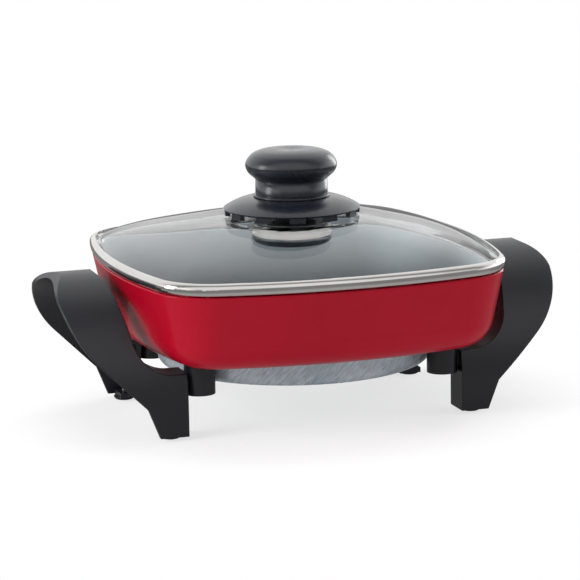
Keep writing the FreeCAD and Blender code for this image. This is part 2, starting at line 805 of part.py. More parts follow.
# Each leg carries a screw boss on a web, under the pan's lug.
handle_pieces = [shell]
boss_top = S.pan_base_height - S.shield_wall
screw_seat = S.boss_bottom + S.washer_height + S.screw_head_height + S.running_gap
for label, side in (("front", -1), ("back", 1)):
    y = side * S.boss_y
    post = cylinder("boss_" + label, S.boss_radius, boss_top - S.boss_bottom,
                    S.boss_x, y, S.boss_bottom)
    reach = S.leg_inner_reach + S.handle_wall
    web = block("web_" + label, S.boss_x, reach, y - S.web_half_width,
                y + S.web_half_width, S.boss_bottom + 3, S.leg_top)
    handle_pieces.append(post)
    handle_pieces.append(web)
handle_solid = fuse("handle_solid", handle_pieces)
bores = []
for label, side in (("front", -1), ("back", 1)):
    y = side * S.boss_y
    bores.append(cylinder("boss_socket_" + label, S.lug_radius + S.running_gap,
                          boss_top - S.pan_base_height + S.lug_drop + S.running_gap, S.boss_x, y,
                          S.pan_base_height - S.lug_drop - S.running_gap))
    bores.append(cylinder("boss_bore_" + label, S.screw_radius,
                          boss_top - S.boss_bottom, S.boss_x, y, S.boss_bottom))
    bores.append(cylinder("boss_recess_" + label, S.recess_radius,
                          screw_seat - S.boss_bottom, S.boss_x, y, S.boss_bottom))
    bores.append(cylinder("foot_bore_" + label, S.foot_stem_radius, S.handle_wall,
                          S.foot_x, side * S.foot_y, S.leg_bottom))
bore_set = fuse("handle_bores", bores)
handle_right = cut("handle_right", handle_solid, bore_set)
parts["handle_right"] = handle_right
handle_left = doc.addObject("Part::Mirroring", "handle_left")
handle_left.Source = handle_right
handle_left.Normal = Vector(1, 0, 0)
handle_left.Base = Vector(0, 0, 0)
parts["handle_left"] = handle_left

# Washers and screws that hold each handle: a domed head, up into the pan's lug.
washers = []
screws = []
for corner, sx, sy in CORNERS:
    x = sx * S.boss_x
    y = sy * S.boss_y
    disc = cylinder("washer_disc_" + corner, S.washer_radius, S.washer_height,
                    x, y, screw_seat - S.washer_height)
    eye = cylinder("washer_eye_" + corner, S.screw_radius, S.washer_height,
                   x, y, screw_seat - S.washer_height)
    washers.append(cut("washer_" + corner, disc, eye))
    shank = cylinder("screw_shank_" + corner, S.screw_radius,
                     S.pan_base_height - screw_seat + S.washer_height - 0.5,
                     x, y, screw_seat - S.washer_height)
    head = doc.addObject("Part::Cone", "screw_head_" + corner)
    bind(head, "Radius1", S.screw_head_radius - 1)
    bind(head, "Radius2", S.screw_head_radius)
    bind(head, "Height", S.screw_head_height)
    place(head, x, y, screw_seat - S.washer_height - S.screw_head_height)
    screws.append(fuse("screw_" + corner, [shank, head]))
parts["handle_washers"] = fuse("handle_washers", washers)
parts["handle_screws"] = fuse("handle_screws", screws)

# The lid band: a rolled ring on the pan's rim with a groove that grips the glass.
band_top = S.pan_rim_height + S.band_height
band = new_body("lid_band")
band_sketch = new_sketch(band, "band_outline", "XY_Plane", S.pan_rim_height)
bowed_square(band_sketch, S.band_half_width, S.side_bow_radius, S.band_corner_radius)
band_block = pad(band, "band_block", band_sketch, S.band_height)
band_soft = round_edges(band, "band_roll", band_block, S.band_round,
                        lambda e: level(e, band_top.number)
                        or level(e, S.pan_rim_height.number))
band_inner = new_sketch(band, "band_inner", "XY_Plane", band_top)
bowed_square(band_inner, S.band_half_width - S.band_lip, S.side_bow_radius - S.band_lip,
             S.band_corner_radius - S.band_lip)
pocket(band, "band_opening", band_inner, S.band_height)
groove_low = S.pan_rim_height + S.glass_edge_lift
groove_sketch = new_sketch(band, "band_groove_outline", "XY_Plane",
                           groove_low + S.glass_thickness)
bowed_square(groove_sketch, S.band_half_width - S.band_wall, S.side_bow_radius - S.band_wall,
             S.band_corner_radius - S.band_wall)
pocket(band, "band_groove", groove_sketch, S.glass_thickness)
parts["lid_band"] = band

crown = S.glass_crown_height
skirt_height = crown + S.skirt_lift
neck_base = crown + S.neck_lift
cap_base = crown + S.cap_lift
cap_waist = crown + S.cap_waist_lift
knob_top = crown + S.knob_rise

# The glass: its rim is a flat bowed square in the groove; from there a dome of
# rounder and rounder sections climbs to a flat crown under the knob.
glass_low = groove_low
glass_rim_top = glass_low + S.glass_thickness


def dome_steps(inset):
    """Heights and outlines of the dome, from the rim to the crown."""
    reach = S.band_half_width - S.band_lip - 0.6
    steps = []
    for share, climb, bow, corner in ((0.0, 0.0, 1.0, 0.3), (0.14, 0.3, 0.75, 0.38),
                                      (0.42, 0.62, 0.45, 0.54), (0.73, 0.865, 0.28, 0.73),
                                      (1.0, 1.0, 0.17, 0.885)):
        half = reach - (reach - S.glass_crown_radius) * share
        height = glass_rim_top + (S.glass_crown_height - glass_rim_top) * climb
        bow_size = (S.side_bow_radius - S.band_lip) * bow
        corner_size = half * corner
        steps.append((half - inset, height - inset * 1.0, bow_size - inset,
                      corner_size - inset))
    return steps


def dome(name, inset):
    """A smooth loft through the sections of the dome."""
    sections = []
    for index, (half, height, bow, corner) in enumerate(dome_steps(inset)):
        sketch = new_sketch(None, "%s_section_%d" % (name, index + 1), "XY_Plane", height)
        bowed_square(sketch, half, bow, corner)
        sections.append(sketch)
    loft = doc.addObject("Part::Loft", name)
    loft.Sections = sections
    loft.Solid = True
    loft.Ruled = False
    return loft


rim_outline = new_sketch(None, "glass_rim_outline", "XY_Plane", glass_low)
bowed_square(rim_outline, S.band_half_width - S.band_wall, S.side_bow_radius - S.band_wall,
             S.band_corner_radius - S.band_wall)
rim_plate = extrusion("glass_rim_plate", rim_outline, S.glass_thickness)
outer_dome = dome("glass_outer_dome", as_size(0))
inner_dome = dome("glass_inner_dome", S.glass_thickness)
glass_full = fuse("glass_full", [rim_plate, outer_dome])
glass_shell = cut("glass_shell", glass_full, inner_dome)
glass_hole = cylinder("glass_hole", S.glass_hole_radius, S.glass_crown_height,
                      z=S.pan_base_height)
parts["lid_glass"] = cut("lid_glass", glass_shell, glass_hole)

# Under the glass: a spacer tube and a polished disc, held by the lid's one screw.
glass_underside = S.glass_crown_height - S.glass_thickness
mirror_apex = glass_underside - S.mirror_drop
mirror_edge = mirror_apex - S.mirror_bulge
flat = S.spacer_radius
spacer_tube = cylinder("spacer_tube", S.spacer_radius, S.mirror_drop, z=mirror_apex)
spacer_bore = cylinder("spacer_bore", S.lid_screw_radius, S.glass_crown_height,
                       z=S.pan_base_height)
parts["lid_spacer"] = cut("lid_spacer", spacer_tube, spacer_bore)
mirror = new_body("lid_mirror_disc")
reach = S.mirror_radius - flat
bulge_radius = (reach * reach + S.mirror_bulge * S.mirror_bulge) / (2 * S.mirror_bulge)
revolve(mirror, "mirror_turn", [
    (S.lid_screw_radius, mirror_apex - S.mirror_thickness),
    (flat, mirror_apex - S.mirror_thickness, bulge_radius - S.mirror_thickness, -1),
    (S.mirror_radius - S.mirror_thickness, mirror_edge),
    (S.mirror_radius, mirror_edge, bulge_radius, 1),
    (flat, mirror_apex),
    (S.lid_screw_radius, mirror_apex),
])
parts["lid_mirror_disc"] = mirror
gasket = new_body("knob_gasket")
gasket_top = S.glass_crown_height + S.gasket_thickness
revolve(gasket, "gasket_turn", [
    (S.lid_screw_radius, glass_underside),
    (S.glass_hole_radius, glass_underside),
    (S.glass_hole_radius, S.glass_crown_height),
    (S.hub_radius, S.glass_crown_height),
    (S.hub_radius, gasket_top),
    (S.lid_screw_radius, gasket_top),
])
parts["knob_gasket"] = gasket

# The knob: a vented skirt with square tabs, a neck and a mushroom cap.
skirt = new_body("knob_skirt")
skirt_step = S.neck_radius + 1.8
skirt_rise = neck_base - skirt_height
revolve(skirt, "skirt_turn", [
    (S.lid_screw_radius, gasket_top),
    (S.hub_radius, gasket_top),
    (S.hub_radius, skirt_height + skirt_rise * 0.45),
    (S.skirt_radius - S.skirt_wall * 1.6, skirt_height),
    (S.skirt_radius - 0.4, skirt_height),
    (S.skirt_radius, skirt_height + 0.8, S.skirt_radius * 0.95, 1),
    (skirt_step, neck_base),
    (S.lid_screw_radius, neck_base),
])
tab_sketch = new_sketch(skirt, "skirt_tab_outline", "XY_Plane", skirt_height - S.tab_drop)
half_tab = S.tab_width / 2
tab_inner = S.skirt_radius - S.skirt_wall * 1.4
tab_outer = S.skirt_radius - 0.6
outline(tab_sketch, [(tab_inner, -half_tab), (tab_outer, -half_tab),
                     (tab_outer, half_tab), (tab_inner, half_tab)])
tab = pad(skirt, "skirt_tab", tab_sketch, S.tab_drop + 0.4)
pattern = skirt.newObject("PartDesign::PolarPattern", "skirt_tabs")
pattern.Originals = [tab]
pattern.Axis = (origin_plane(skirt, "Z_Axis"), [""])
pattern.Angle = 360
bind(pattern, "Occurrences", S.tab_count)
skirt.Tip = pattern
skirt.Placement = Placement(Vector(0, 0, 0), Rotation(Vector(0, 0, 1), 1))
skirt.setExpression("Placement.Rotation.Angle", "Sizes.tab_start_angle * 1deg")
parts["knob_skirt"] = skirt

neck = new_body("knob_neck")
ring_top = neck_base + S.neck_ring_height
revolve(neck, "neck_turn", [
    (S.insert_radius, neck_base),
    (S.neck_radius + 0.8, neck_base),
    (S.neck_radius + 0.8, ring_top),
    (S.neck_radius, ring_top + 0.4),
    (S.neck_radius, cap_base - 2, 4, -1),
    (S.neck_radius + 1.2, cap_base),
    (S.insert_radius, cap_base),
])
parts["knob_neck"] = neck

cap = new_body("knob_cap")
socket_top = neck_base + S.insert_length
revolve(cap, "cap_turn", [
    (S.insert_radius, cap_base),
    (S.cap_radius - 4, cap_base, 14, 1),
    (S.cap_radius, cap_waist),
    (S.cap_radius - 0.2, cap_waist + 1.2, 12, 1),
    (S.cap_radius - 5.2, knob_top - 0.6, 8, 1),
    (S.cap_radius - 8, knob_top),
    (0, knob_top - S.cap_dish),
    (0, socket_top),
    (S.insert_radius, socket_top),
])
parts["knob_cap"] = cap
insert = cylinder("insert_barrel", S.insert_radius, S.insert_length, z=neck_base)
insert_bore = cylinder("insert_bore", S.lid_screw_radius, S.insert_length - 2, z=neck_base)
parts["knob_insert"] = cut("knob_insert", insert, insert_bore)
lid_shank = cylinder("lid_screw_shank", S.lid_screw_radius,
                     neck_base + S.insert_length - 3 - mirror_apex + S.mirror_thickness,
                     z=mirror_apex - S.mirror_thickness)
lid_head = doc.addObject("Part::Cone", "lid_screw_head")
bind(lid_head, "Radius1", S.lid_screw_head_radius - 1)
bind(lid_head, "Radius2", S.lid_screw_head_radius)
bind(lid_head, "Height", S.lid_screw_head_height)
place(lid_head, z=mirror_apex - S.mirror_thickness - S.lid_screw_head_height)
parts["lid_screw"] = fuse("lid_screw", [lid_shank, lid_head])

doc.recompute()
for obj in doc.Objects:
    if "Invalid" in obj.State or "Error" in obj.State:
        raise RuntimeError("failed: %s %s" % (obj.Name, obj.State))
for name, obj in parts.items():
    obj.Label = name
    shape = obj.Shape
    if shape.isNull() or not shape.isValid():
        raise RuntimeError("bad shape: " + name)
os.makedirs("parts", exist_ok=True)
for name, obj in parts.items():
    obj.Shape.exportStep("parts/%s.step" % name)
    box = obj.Shape.BoundBox
    print("%-20s solids %d  volume %10.1f  z %7.2f to %7.2f  x %7.2f to %7.2f" % (
        name, len(obj.Shape.Solids), obj.Shape.Volume, box.ZMin, box.ZMax,
        box.XMin, box.XMax))
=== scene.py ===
# %% [markdown]
# # An electric skillet, dressed for a studio picture
# The skillet is a square red pan on two black handles that are also its legs, with a
# round heat shield under it and a domed glass lid with a vented knob. The packed
# model already holds every solid in place, in metres, with +Z up. This script gives
# each solid its finish, turns four pieces of the lid anew, and lights the scene.

# %% Load the frame
import math

import bmesh
import bpy
from mathutils import Matrix, Vector


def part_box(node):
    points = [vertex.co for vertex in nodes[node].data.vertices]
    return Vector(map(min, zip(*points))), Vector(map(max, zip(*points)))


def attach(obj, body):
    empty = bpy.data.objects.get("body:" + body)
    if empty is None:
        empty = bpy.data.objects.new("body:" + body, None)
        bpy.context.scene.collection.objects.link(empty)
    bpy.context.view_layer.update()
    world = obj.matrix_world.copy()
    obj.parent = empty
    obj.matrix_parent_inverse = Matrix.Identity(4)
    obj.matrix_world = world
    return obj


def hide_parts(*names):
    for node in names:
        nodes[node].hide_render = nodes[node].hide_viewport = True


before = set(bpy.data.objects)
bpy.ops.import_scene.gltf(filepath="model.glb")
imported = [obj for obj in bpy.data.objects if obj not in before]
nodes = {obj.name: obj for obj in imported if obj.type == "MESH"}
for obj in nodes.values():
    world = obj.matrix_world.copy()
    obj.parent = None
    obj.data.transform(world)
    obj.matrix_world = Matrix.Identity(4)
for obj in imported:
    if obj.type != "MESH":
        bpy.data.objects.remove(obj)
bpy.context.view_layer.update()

# Nearly all values of a noise lie between these two, so ramps start and end there.
MIDDLE = (0.3, 0.7)
MM_PER_M = 1000

# %% [markdown]
# ## Maths between shader sockets
# A pattern in a material is arithmetic on positions and noise. Wiring Math nodes by
# hand hides the formula, so a small class wraps an output socket and lets Python's
# own operators add the nodes. A workbench holds the tree of one material and has a
# short method for each thing that the finishes share: noise, ramps, colour blends,
# bump, kinds of rays, and a second shader over the first.


# %% The shader workbench
class Wire:
    """A number or a vector that comes out of a node."""

    def __init__(self, bench, socket):
        self.bench = bench
        self.socket = socket

    def __add__(self, other):
        return self.bench.math("ADD", self, other)

    def __sub__(self, other):
        return self.bench.math("SUBTRACT", self, other)

    def __rsub__(self, other):
        return self.bench.math("SUBTRACT", other, self)

    def __mul__(self, other):
        return self.bench.math("MULTIPLY", self, other)

    def __rmul__(self, other):
        return self.bench.math("MULTIPLY", other, self)

    def __pow__(self, other):
        return self.bench.math("POWER", self, other)

    def __gt__(self, other):
        return self.bench.math("GREATER_THAN", self, other)

    def __lt__(self, other):
        return self.bench.math("LESS_THAN", self, other)


class Bench:
    """One material's node tree, with its Principled shader."""

    def __init__(self, name, **sockets):
        self.material = bpy.data.materials.new(name)
        self.material.use_nodes = True
        self.tree = self.material.node_tree
        self.shader = self.tree.nodes["Principled BSDF"]
        for key, value in sockets.items():
            self.shader.inputs[key.replace("_", " ")].default_value = value
        self.place = self.node("ShaderNodeTexCoord").outputs["Object"]

    def node(self, kind, settings=None, **inputs):
        made = self.tree.nodes.new(kind)
        for key, value in (settings or {}).items():
            setattr(made, key, value)
        for key, value in inputs.items():
            self.feed(made.inputs[key.replace("_", " ")], value)
        return made

    def feed(self, socket, value):
        if isinstance(value, Wire):
            value = value.socket
        if isinstance(value, bpy.types.NodeSocket):
            self.tree.links.new(value, socket)
        else:
            socket.default_value = value

    def math(self, operation, *values):
        made = self.node("ShaderNodeMath", {"operation": operation})
        for socket, value in zip(made.inputs, values):
            self.feed(socket, value)
        return Wire(self, made.outputs[0])

    def noise(self, scale, detail=3.0, rough=0.5, stretch=(1, 1, 1)):
        """Noise of about 1/scale metres; stretch squeezes it along the axes."""
        spot = self.node("ShaderNodeMapping", Vector=self.place, Scale=stretch).outputs[0]
        made = self.node("ShaderNodeTexNoise", Vector=spot, Scale=scale, Detail=detail,
                         Roughness=rough)
        return Wire(self, made.outputs["Fac"])

    def along(self):
        """The three coordinates of the point, each as a number."""
        split = self.node("ShaderNodeSeparateXYZ", Vector=self.place)
        return [Wire(self, output) for output in split.outputs]

    def facing(self):
        """The three parts of the surface's own normal."""
        normal = self.node("ShaderNodeNewGeometry").outputs["Normal"]
        split = self.node("ShaderNodeSeparateXYZ", Vector=normal)
        return [Wire(self, output) for output in split.outputs]

    def ramp(self, value, low, high, low_to=0.0, high_to=1.0):
        """A straight ramp from low_to to high_to while value goes from low to high."""
        made = self.node("ShaderNodeMapRange", Value=value)
        made.inputs["From Min"].default_value = low
        made.inputs["From Max"].default_value = high
        made.inputs["To Min"].default_value = low_to
        made.inputs["To Max"].default_value = high_to
        return Wire(self, made.outputs[0])

    def blend(self, share, first, second):
        """A colour between two colours."""
        made = self.node("ShaderNodeMix", {"data_type": "RGBA"})
        self.feed(made.inputs["Factor"], share)
        self.feed(made.inputs[6], first)
        self.feed(made.inputs[7], second)
        return made.outputs[2]

    def rays(self, kind, other_kind=None):
        """1 for a ray of either kind, such as "Camera", and 0 for all others."""
        outputs = self.node("ShaderNodeLightPath").outputs
        found = Wire(self, outputs["Is %s Ray" % kind])
        if other_kind:
            found = self.math("MAXIMUM", found, Wire(self, outputs["Is %s Ray" % other_kind]))
        return found

    def shade_over(self, share, other):
        """Let another shader take the place of the first by a share."""
        mixer = self.node("ShaderNodeMixShader")
        self.feed(mixer.inputs[0], share)
        self.feed(mixer.inputs[1], self.shader.outputs[0])
        self.feed(mixer.inputs[2], other.outputs[0])
        self.feed(self.tree.nodes["Material Output"].inputs["Surface"], mixer.outputs[0])

    def bump(self, height, strength, distance):
        made = self.node("ShaderNodeBump", Height=height, Strength=strength,
                         Distance=distance)
        self.feed(self.shader.inputs["Normal"], made.outputs[0])

    def set(self, **sockets):
        for key, value in sockets.items():
            self.feed(self.shader.inputs[key.replace("_", " ")], value)


def rgb(red, green, blue):
    """A colour as it looks on screen, from 0 to 255, turned to the linear one."""
    line = []
    for value in (red, green, blue):
        share = value / 255
        line.append(share / 12.92 if share < 0.04045 else ((share + 0.055) / 1.055) ** 2.4)
    return (*line, 1.0)


# %% [markdown]
# ## The red pan
# The cast pan is enamelled red outside and has a grey-blue non-stick coat inside.
# Both are one solid, so the finish is told apart by which way the surface faces:
# inside, the wall faces the middle and the floor faces up. The enamel is a thick
# gloss coat over a slightly wavy casting. The non-stick is satin with fine grain. Its
# colour carries painted shade and painted light: it is painted darker towards the floor
# and paler up the wall, standing in for less light getting under the lid near the floor.

# %% Pan finish
rim_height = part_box("pan")[1].z
rim_round = 0.0012
inside_bottom = 0.0445
# Painted shade: between these heights the coat's colour goes from a painted dark floor to a
# painted pale wall.
painted_dark_height, painted_pale_height = 0.046, 0.08
facing_up = 0.3
gloss = 0.22
pan = Bench("enamelled_pan", Coat_Roughness=0.05, Coat_IOR=1.35, Specular_IOR_Level=0.12)
px, py, pz = pan.along()
nx, ny, nz = pan.facing()
inward = (px * nx + py * ny) < 0.0
floor_up = (nz > facing_up) * (pz < rim_height - rim_round)
inside = pan.math("MAXIMUM", inward * (pz > inside_bottom), floor_up)
cloud = pan.noise(14.0, detail=4.0)
enamel = pan.blend(pan.ramp(cloud, 0.35, 0.7), rgb(150, 3, 28), rgb(159, 5, 32))
grain = pan.ramp(pan.noise(900.0, detail=2.0, rough=0.6), *MIDDLE)
# Painted shade and painted light: a dark coat colour for the floor and a pale one for the
# wall, blended by height.
shaded_floor_paint = pan.blend(grain, rgb(30, 38, 46), rgb(35, 43, 51))
lit_wall_paint = pan.blend(grain, rgb(150, 161, 167), rgb(157, 168, 174))
coat_with_painted_shade = pan.blend(pan.ramp(pz, painted_dark_height, painted_pale_height), shaded_floor_paint, lit_wall_paint)
pan.bump(pan.noise(60.0, detail=1.0), 0.1, 0.0005)
pan.set(Base_Color=pan.blend(inside, enamel, coat_with_painted_shade),
        Roughness=pan.ramp(inside, 0, 1, 0.3, 0.34), Coat_Weight=gloss - inside * gloss)
print("pan finish", len(pan.tree.nodes))

# %% [markdown]
# ## Galvanised sheet
# The heat shield is spun from dull galvanised sheet, so it keeps slanted scratches from
# the spinning and cloudy zinc patches. The scratches are noise stretched along a line
# that climbs round the dish, worked out from the angle and the height, so that they
# follow the wall on every side. A picture wrapped round it would show a seam.

# %% Sheet finish
shield_radius = 0.0775
along_scratch, across_scratch = 90.0, 700.0
shield = Bench("galvanised_sheet", Metallic=0.55)
sx, sy, sz = shield.along()
round_way = shield.math("ARCTAN2", sy, sx) * shield_radius
drawn_line = shield.node("ShaderNodeCombineXYZ", X=(round_way + sz) * along_scratch,
                         Y=(sz - round_way) * across_scratch,
                         Z=(sx * sx + sy * sy) ** 0.5 * along_scratch)
scratch_node = shield.node("ShaderNodeTexNoise", Vector=drawn_line.outputs[0], Scale=1.0,
                           Detail=4.0, Roughness=0.65)
scratches = Wire(shield, scratch_node.outputs["Fac"])
patches = shield.noise(38.0, detail=2.0)
marks = shield.ramp(scratches * 0.65 + patches * 0.35, 0.38, 0.62)
shield.bump(scratches, 0.45, 0.0003)
shield.set(Base_Color=shield.blend(marks, rgb(146, 160, 169), rgb(206, 215, 222)),
           Roughness=shield.ramp(patches, *MIDDLE, 0.22, 0.36))
print("shield finish", len(shield.tree.nodes))

# %% [markdown]
# ## Steel, brass, ceramic and rubber
# The small parts under the pan and in the knob are plain plated steel, a turned brass
# insert, the dull sheath of the element, fired ceramic and rubber. Each has one fine
# grain that sets its colour and its roughness together, so one function makes them all.


# %% Finishes of the small parts
def grained(name, scale, dark, light, smooth, rough, relief=0.0, detail=3.0,
            stretch=(1, 1, 1), **sockets):
    """A finish whose colour, roughness and relief follow one fine noise."""
    made = Bench(name, **sockets)
    fleck = made.noise(scale, detail=detail, stretch=stretch)
    if relief:
        made.bump(fleck, relief, 0.0002)
    made.set(Base_Color=made.blend(fleck, dark, light),
             Roughness=made.ramp(fleck, *MIDDLE, smooth, rough))
    print(name, len(made.tree.nodes))
    return made


steel = grained("zinc_steel", 1400.0, rgb(170, 172, 172), rgb(205, 206, 206), 0.25, 0.4,
                relief=0.1, detail=2.0, Metallic=1.0)
brass = grained("turned_brass", 1200.0, rgb(176, 146, 82), rgb(204, 176, 110), 0.25, 0.4,
                detail=2.0, stretch=(1, 1, 6), Metallic=1.0)
sheath = grained("element_sheath", 300.0, rgb(70, 66, 62), rgb(112, 106, 100), 0.45, 0.65,
                 detail=4.0, Metallic=0.8)
ceramic = grained("white_ceramic", 700.0, rgb(214, 208, 196), rgb(236, 232, 224), 0.5, 0.7,
                  relief=0.2)
rubber = grained("black_rubber", 1500.0, rgb(26, 26, 27), rgb(40, 40, 41), 0.62, 0.8,
                 relief=0.3)

# %% [markdown]
# ## Moulded black plastics
# The handles are pressed from black phenolic, which comes out of the mould satin, with
# a faint flow pattern. The knob is the same black but polished, and reads a little
# blue. Two workbenches keep them apart, because only the knob has a gloss coat.

# %% Moulded black plastics
phenolic = Bench("handle_phenolic", Specular_IOR_Level=0.55)
skin = phenolic.noise(1100.0, rough=0.6)
flow = phenolic.noise(45.0)
phenolic.bump(skin * 0.5 + flow * 0.8, 0.1, 0.0003)
phenolic.set(Base_Color=phenolic.blend(phenolic.ramp(flow, *MIDDLE),
                                       rgb(17, 18, 23), rgb(23, 24, 30)),
             Roughness=phenolic.ramp(skin, *MIDDLE, 0.32, 0.42))

knob = Bench("knob_phenolic", Specular_IOR_Level=0.6, Coat_Roughness=0.05)
knob_flow = knob.noise(70.0, detail=2.0)
knob.bump(knob_flow, 0.06, 0.0004)
knob.set(Base_Color=knob.blend(knob_flow, rgb(20, 23, 31), rgb(26, 30, 40)),
         Roughness=knob.ramp(knob_flow, *MIDDLE, 0.24, 0.32), Coat_Weight=0.25)
print("handle finish", len(phenolic.tree.nodes), "knob finish", len(knob.tree.nodes))

# %% [markdown]
# ## Polished steel and glass
# The band round the lid is rolled from stainless strip and buffed along its length; a
# slow ripple in it bends the highlights as rolling does. The glass is clear and 4 mm
# thick. Its body bends light only a little here, so that the pan shows in its true
# place, and a clear coat gives the surface the reflections of real glass. Light for
# shadows and bounces goes straight through, as it nearly does in the real lid.

# %% Polished steel and glass
band = Bench("polished_band", Metallic=1.0)
ripple = band.noise(38.0, detail=2.0, stretch=(1, 1, 2.5))
fine_lines = band.noise(500.0, detail=2.0, stretch=(1, 1, 5))
band.bump(ripple, 0.12, 0.0007)
band.set(Base_Color=band.blend(ripple, rgb(206, 203, 199), rgb(228, 226, 223)),
         Roughness=band.ramp(fine_lines, *MIDDLE, 0.08, 0.14))

glass = Bench("tempered_glass", IOR=1.06, Roughness=0.0, Transmission_Weight=1.0,
              Coat_Weight=0.6, Coat_IOR=1.5, Coat_Roughness=0.02)
faint = glass.noise(9.0, detail=1.0)
clear = glass.node("ShaderNodeBsdfTransparent")
glass.shade_over(glass.rays("Shadow", "Diffuse"), clear)
glass.set(Base_Color=glass.blend(faint, (0.985, 0.995, 0.995, 1), (1.0, 1.0, 1.0, 1)))
print("band finish", len(band.tree.nodes), "glass finish", len(glass.tree.nodes))

# %% [markdown]
# ## Turned pieces of the lid
# The knob's neck and cap and the bright cup under the glass are round about the lid's
# own axis. On the real lid they are moulded or spun, so each is made as a half outline
# with rounded corners, spun once about that axis. Each rides on the lid and stands for
# the solids that it covers.


# %% A way to turn a piece
SPIN_STEPS = 96
CORNER_STEPS = 5
SAME_POINT = 1e-6


def turned(name, outline, finish, slot, *stands_for):
    """A piece spun from (radius, height, rounding) corners, in millimetres."""
    shape = bmesh.new()
    corners = [shape.verts.new((radius / MM_PER_M, 0, height / MM_PER_M))
               for radius, height, rounding in outline]
    for first, second in zip(corners, corners[1:]):
        shape.edges.new((first, second))
    for corner, (radius, height, rounding) in zip(corners, outline):
        if rounding:
            bmesh.ops.bevel(shape, geom=[corner], offset=rounding / MM_PER_M,
                            segments=CORNER_STEPS, affect="VERTICES", profile=0.5,
                            material=-1)
    bmesh.ops.spin(shape, geom=shape.verts[:] + shape.edges[:], cent=(0, 0, 0),
                   axis=(0, 0, 1), angle=math.tau, steps=SPIN_STEPS, use_merge=True)
    bmesh.ops.remove_doubles(shape, verts=shape.verts, dist=SAME_POINT)
    bmesh.ops.recalc_face_normals(shape, faces=shape.faces)
    for face in shape.faces:
        face.smooth = True
    mesh = bpy.data.meshes.new(name)
    shape.to_mesh(mesh)
    shape.free()
    piece = bpy.data.objects.new(name, mesh)
    bpy.context.scene.collection.objects.link(piece)
    mesh.materials.append(finish.material)
    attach(piece, "lid")
    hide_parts(*stands_for)
    print(name, "faces", len(mesh.polygons))


# %% [markdown]
# ## Knob neck and cap
# The neck is a plain drum with a thin ring at its foot. The cap is a flat ball with a
# parting line round its widest place and a shallow dish on top. They could be left as
# the solids are, but the photographed neck is taller and the cap flatter.

# %% Knob neck and cap
neck_outline = [
    (0, 120.05, 0), (21.4, 120.05, 0.5), (21.4, 121.4, 0.5), (19.7, 121.45, 0.1),
    (19.7, 121.9, 0.1), (20.3, 122.0, 0.2), (20.2, 131.2, 0), (0, 131.2, 0),
]
cap_outline = [
    (0, 130.2, 0), (20.3, 130.2, 0.3), (21.6, 131.5, 1.2), (24.6, 134.0, 1.6),
    (25.7, 137.0, 1.0), (25.75, 137.7, 0.05), (25.4, 137.85, 0.03), (25.75, 138.0, 0.05),
    (25.4, 139.8, 1.0), (23.6, 142.9, 2.0), (19.6, 145.6, 3.0), (11.0, 147.0, 4.0),
    (5.0, 146.5, 2.5), (0, 146.2, 0),
]
turned("moulded_neck", neck_outline, knob, "knob_phenolic", "knob_neck")
turned("moulded_cap", cap_outline, knob, "knob_phenolic", "knob_cap")

# %% [markdown]
# ## Mirror cup under the glass
# A polished pressed cup under the glass covers the end of the knob's screw. Its wall
# mirrors the pale side of the pan, and its rounded bottom the dark floor. A thin steel
# washer closes it against the glass. A flat disc there would mirror the knob instead.

# %% Mirror cup under the glass
cup_bottom = 90.4
cup_sphere = 60.8
cup_top = 103.4
cup_bowl = [(radius, cup_bottom + radius * radius / (2 * cup_sphere), 0)
            for radius in (0, 4, 8, 12, 16)]
cup_outline = [
    *cup_bowl, (21.8, 93.2, 3.0), (23.2, 97.4, 2.6), (22.2, 101.0, 1.0),
    (21.9, cup_top, 0), (0, cup_top, 0),
]
washer_outline = [
    (0, 103.45, 0), (21.7, 103.45, 0.1), (21.7, 103.9, 0.1), (7.0, 104.9, 0),
    (0, 104.9, 0),
]
turned("mirror_cup", cup_outline, band, "polished_band", "lid_mirror_disc")
turned("cup_washer", washer_outline, steel, "plain_steel", "lid_spacer")

# %% [markdown]
# ## One finish for each solid
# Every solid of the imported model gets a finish, also those that the turned pieces stand
# for and those that nothing shows, so that the table of materials is whole.

# %% Give every solid its finish
FINISH = {
    "pan": pan, "heat_shield": shield, "inlet_guard": shield, "shield_stud": steel,
    "shield_nut": steel, "heating_element": sheath, "terminal_insulators": ceramic,
    "terminal_pins": steel, "sensor_well": steel, "foot_front_left": rubber,
    "foot_front_right": rubber, "foot_back_left": rubber, "foot_back_right": rubber,
    "foot_screws": steel, "handle_right": phenolic, "handle_left": phenolic,
    "handle_washers": steel, "handle_screws": steel, "lid_band": band, "lid_glass": glass,
    "lid_spacer": steel, "lid_mirror_disc": band, "knob_gasket": rubber,
    "knob_skirt": knob, "knob_neck": knob, "knob_cap": knob, "knob_insert": brass,
    "lid_screw": steel,
}
for name, bench in FINISH.items():
    solid = nodes[name]
    solid.data.materials.clear()
    solid.data.materials.append(bench.material)
print("dressed", len(FINISH), "of", len(nodes))

# %% [markdown]
# ## Floor
# The skillet stands on a plain white sweep. Near the feet the paper takes the real
# shadow; further out it glows at full white, so that it runs into the background with
# no edge. Polished surfaces see it darker, or the red enamel would wash out.

